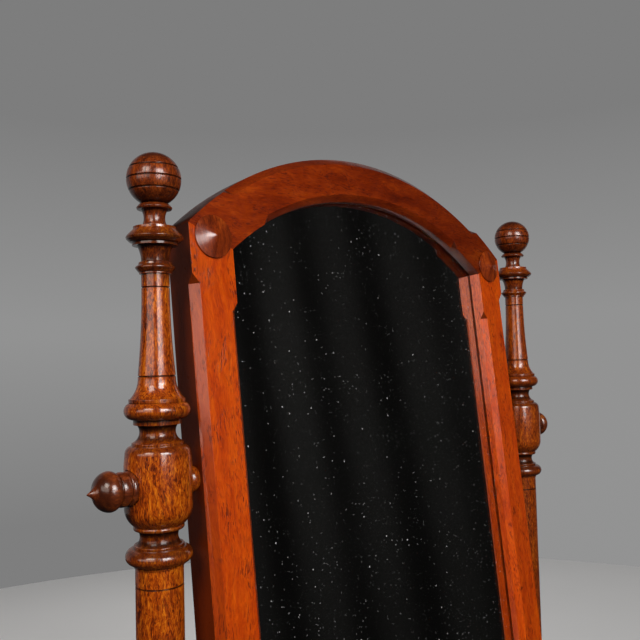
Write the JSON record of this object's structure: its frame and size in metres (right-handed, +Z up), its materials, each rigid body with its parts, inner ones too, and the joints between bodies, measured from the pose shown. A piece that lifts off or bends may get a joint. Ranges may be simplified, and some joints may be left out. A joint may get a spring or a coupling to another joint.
{
  "type": "cheval floor mirror",
  "caption": "Free-standing full-length looking glass: an arched, chamfered frame that tilts between turned posts on clamp knobs, over a turned stretcher and swept feet.",
  "frame": {"origin": "on the floor, midway between the posts, under the pivot axis", "axes": "+Z up; +Y to the back, so the glass faces -Y; +X to the right of someone standing in front and looking at it the way +Y points"},
  "size_m": [0.8346, 0.552, 1.4371],
  "materials": {
    "post_walnut": "French-polished figured walnut",
    "knob_walnut": "dark French polish",
    "frame_mahogany": "red French-polished mahogany",
    "arch_mahogany": "red French-polished mahogany with mottled figure",
    "silvered_glass": "old silvering with small foxing specks",
    "backboard_pine": "bare aged pine",
    "dowel_beech": "bare",
    "brass": "dull turned brass",
    "steel": "plain steel"
  },
  "bodies": {
    "stand": {"left_post": "post_walnut", "right_post": "post_walnut", "left_ball_finial": "post_walnut", "right_ball_finial": "post_walnut", "left_pendant": "post_walnut", "right_pendant": "post_walnut", "stretcher": "post_walnut", "left_front_foot": "post_walnut", "left_back_foot": "post_walnut", "right_front_foot": "post_walnut", "right_back_foot": "post_walnut", "foot_dowels": "dowel_beech", "left_pivot_bush": "brass", "right_pivot_bush": "brass"},
    "mirror_frame": {"left_stile": "frame_mahogany", "right_stile": "frame_mahogany", "arched_top_rail": "arch_mahogany", "bottom_rail": "frame_mahogany", "arch_dowels": "dowel_beech", "upper_left_roundel": "frame_mahogany", "upper_right_roundel": "frame_mahogany", "lower_left_roundel": "frame_mahogany", "lower_right_roundel": "frame_mahogany", "mirror_glass": "silvered_glass", "glass_blocks": "backboard_pine", "backboard": "backboard_pine", "backboard_screws": "steel", "left_boss": "knob_walnut", "right_boss": "knob_walnut", "left_threaded_socket": "brass", "right_threaded_socket": "brass"},
    "left_collar": {"left_clamp_collar": "knob_walnut"},
    "left_knob": {"left_clamp_knob": "knob_walnut", "left_pivot_bolt": "steel"},
    "right_collar": {"right_clamp_collar": "knob_walnut"},
    "right_knob": {"right_clamp_knob": "knob_walnut", "right_pivot_bolt": "steel"}
  },
  "joints": [
    {"name": "tilt", "type": "hinge", "parent": "stand", "child": "mirror_frame", "pos_m": [0, 0, 1.05], "axis": [1, 0, 0], "range_deg": [-40, 50]},
    {"name": "left_clamp_travel", "type": "slide", "parent": "stand", "child": "left_collar", "axis": [-1, 0, 0], "range_m": [0, 0.004]},
    {"name": "left_clamp_turn", "type": "hinge", "parent": "left_collar", "child": "left_knob", "pos_m": [-0.37, 0, 1.05], "axis": [-1, 0, 0], "range_deg": [0, 720]},
    {"name": "right_clamp_travel", "type": "slide", "parent": "stand", "child": "right_collar", "axis": [1, 0, 0], "range_m": [0, 0.004]},
    {"name": "right_clamp_turn", "type": "hinge", "parent": "right_collar", "child": "right_knob", "pos_m": [0.37, 0, 1.05], "axis": [1, 0, 0], "range_deg": [0, 720]}
  ],
  "couplings": [
    {"joint": "left_clamp_turn", "follows": "left_clamp_travel", "rad_per_m": 3141.6},
    {"joint": "right_clamp_turn", "follows": "right_clamp_travel", "rad_per_m": 3141.6}
  ]
}
